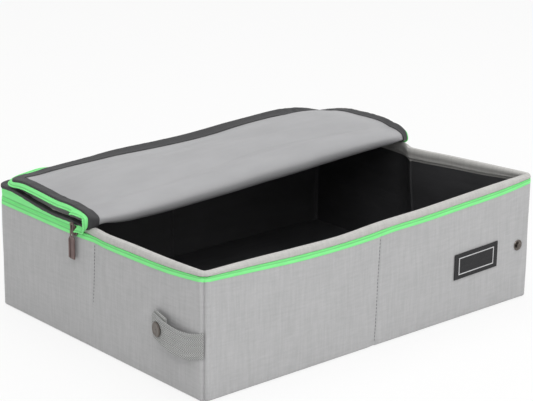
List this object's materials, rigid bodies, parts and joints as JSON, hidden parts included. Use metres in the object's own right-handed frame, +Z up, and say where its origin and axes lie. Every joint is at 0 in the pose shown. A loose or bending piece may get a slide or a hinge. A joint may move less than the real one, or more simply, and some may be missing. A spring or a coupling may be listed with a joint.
{
  "type": "foldable litter box",
  "caption": "Fabric litter box with stiffened walls that fold flat, a zipped lid folded back on itself, a floor in hinged halves and a snap strap.",
  "frame": {"origin": "on the ground under the middle of the box", "axes": "+X along the long walls, -Y towards the front wall with the patch, +Z up"},
  "size_m": [0.4156, 0.3023, 0.14],
  "materials": {
    "outer_fabric": "matt woven grey",
    "rim_fabric": "matt woven pale grey",
    "zip_tape": "bright mint green tape with a woven coil",
    "lining": "smooth coated black",
    "lid_lining": "smooth coated pale grey",
    "binding": "black grosgrain",
    "board": "plain stiffening board",
    "webbing": "grey herringbone webbing",
    "snap_metal": "satin nickel",
    "gunmetal": "dark gunmetal",
    "patch": "black woven patch with a thin pale border"
  },
  "bodies": {
    "back": {"back_wall_skin": "outer_fabric", "back_wall_board_a": "board", "back_wall_board_b": "board", "back_wall_lining": "lining", "back_wall_rim": "rim_fabric", "back_zip_tape": "zip_tape"},
    "right_rear": {"right_rear_end_skin": "outer_fabric", "right_rear_end_board": "board", "right_rear_end_lining": "lining", "right_rear_end_rim": "rim_fabric", "right_rear_zip_tape": "zip_tape"},
    "right_front": {"right_front_end_skin": "outer_fabric", "right_front_end_board": "board", "right_front_end_lining": "lining", "right_front_end_rim": "rim_fabric", "right_front_zip_tape": "zip_tape"},
    "front": {"front_wall_skin": "outer_fabric", "front_wall_board_a": "board", "front_wall_board_b": "board", "front_wall_lining": "lining", "front_wall_rim": "rim_fabric", "front_zip_tape": "zip_tape", "front_snap_stud": "snap_metal", "front_label_patch": "patch"},
    "left_rear": {"left_rear_end_skin": "outer_fabric", "left_rear_end_board": "board", "left_rear_end_lining": "lining", "left_rear_end_rim": "rim_fabric", "left_rear_zip_tape": "zip_tape"},
    "left_front": {"left_front_end_skin": "outer_fabric", "left_front_end_board": "board", "left_front_end_lining": "lining", "left_front_end_rim": "rim_fabric", "left_front_zip_tape": "zip_tape"},
    "floor_back": {"back_floor_skin": "outer_fabric", "back_floor_board": "board", "back_floor_lining": "lining", "back_floor_gusset_a": "lining", "back_floor_gusset_b": "lining"},
    "floor_front": {"front_floor_skin": "outer_fabric", "front_floor_board": "board", "front_floor_lining": "lining", "front_floor_gusset_a": "lining", "front_floor_gusset_b": "lining"},
    "lid_rear": {"lid_rear_shell": "outer_fabric", "lid_rear_lining": "lid_lining", "lid_rear_zip_tape": "zip_tape", "lid_rear_binding": "binding", "lid_roll": "outer_fabric"},
    "lid_flap": {"lid_flap_shell": "outer_fabric", "lid_flap_lining": "lid_lining", "lid_flap_zip_tape": "zip_tape", "lid_flap_binding": "binding"},
    "strap": {"strap_webbing": "webbing", "strap_snap_cap": "snap_metal", "strap_snap_socket": "snap_metal"},
    "slider_right": {"right_zip_slider": "gunmetal"},
    "slider_left": {"left_zip_slider": "gunmetal"},
    "pull_right": {"right_zip_pull": "gunmetal"},
    "pull_left": {"left_zip_pull": "gunmetal"}
  },
  "joints": [
    {"name": "collapse", "type": "hinge", "parent": "back", "child": "right_rear", "pos_m": [0.192, 0.142, 0.05], "axis": [0, 0, -1], "range_deg": [0, 90], "deforming": ["back_floor_gusset_a", "back_floor_gusset_b", "front_floor_gusset_a", "front_floor_gusset_b"]},
    {"name": "right_centre_fold", "type": "hinge", "parent": "right_rear", "child": "right_front", "pos_m": [0.205, 0, 0.05], "axis": [0, 0, 1], "range_deg": [0, 180]},
    {"name": "right_front_corner", "type": "hinge", "parent": "right_front", "child": "front", "pos_m": [0.192, -0.142, 0.05], "axis": [0, 0, -1], "range_deg": [0, 90]},
    {"name": "left_rear_corner", "type": "hinge", "parent": "back", "child": "left_rear", "pos_m": [-0.192, 0.142, 0.05], "axis": [0, 0, 1], "range_deg": [0, 90]},
    {"name": "left_centre_fold", "type": "hinge", "parent": "left_rear", "child": "left_front", "pos_m": [-0.205, 0, 0.05], "axis": [0, 0, -1], "range_deg": [0, 180]},
    {"name": "floor_back_fold", "type": "hinge", "parent": "back", "child": "floor_back", "pos_m": [0, 0.1437, 0.0034], "axis": [-1, 0, 0], "range_deg": [0, 90]},
    {"name": "floor_front_fold", "type": "hinge", "parent": "front", "child": "floor_front", "pos_m": [0, -0.1437, 0.0034], "axis": [1, 0, 0], "range_deg": [0, 90]},
    {"name": "lid_lift", "type": "hinge", "parent": "back", "child": "lid_rear", "pos_m": [0, 0.1496, 0.1105], "axis": [-1, 0, 0], "range_deg": [0, 90]},
    {"name": "lid_unfold", "type": "hinge", "parent": "lid_rear", "child": "lid_flap", "pos_m": [0, 0, 0.1305], "axis": [1, 0, 0], "range_deg": [0, 180], "deforming": ["lid_roll"]},
    {"name": "strap_swing", "type": "hinge", "parent": "front", "child": "strap", "pos_m": [-0.1985, -0.1485, 0.0515], "axis": [0, 0, 1], "range_deg": [0, 200]},
    {"name": "slider_right_slide", "type": "slide", "parent": "right_rear", "child": "slider_right", "axis": [0, 1, 0], "range_m": [0, 0.105]},
    {"name": "slider_left_slide", "type": "slide", "parent": "left_rear", "child": "slider_left", "axis": [0, 1, 0], "range_m": [0, 0.105]},
    {"name": "pull_right_swing", "type": "hinge", "parent": "slider_right", "child": "pull_right", "pos_m": [0.2031, 0.0286, 0.1105], "axis": [0, -1, 0], "range_deg": [0, 170]},
    {"name": "pull_left_swing", "type": "hinge", "parent": "slider_left", "child": "pull_left", "pos_m": [-0.2031, 0.0286, 0.1105], "axis": [0, 1, 0], "range_deg": [0, 170]}
  ],
  "couplings": [
    {"joint": "right_centre_fold", "follows": "collapse", "ratio": 2},
    {"joint": "right_front_corner", "follows": "collapse", "ratio": 1},
    {"joint": "left_rear_corner", "follows": "collapse", "ratio": 1},
    {"joint": "left_centre_fold", "follows": "collapse", "ratio": 2},
    {"joint": "floor_back_fold", "follows": "collapse", "ratio": 1},
    {"joint": "floor_front_fold", "follows": "collapse", "ratio": 1},
    {"joint": "lid_lift", "follows": "collapse", "ratio": 1}
  ]
}
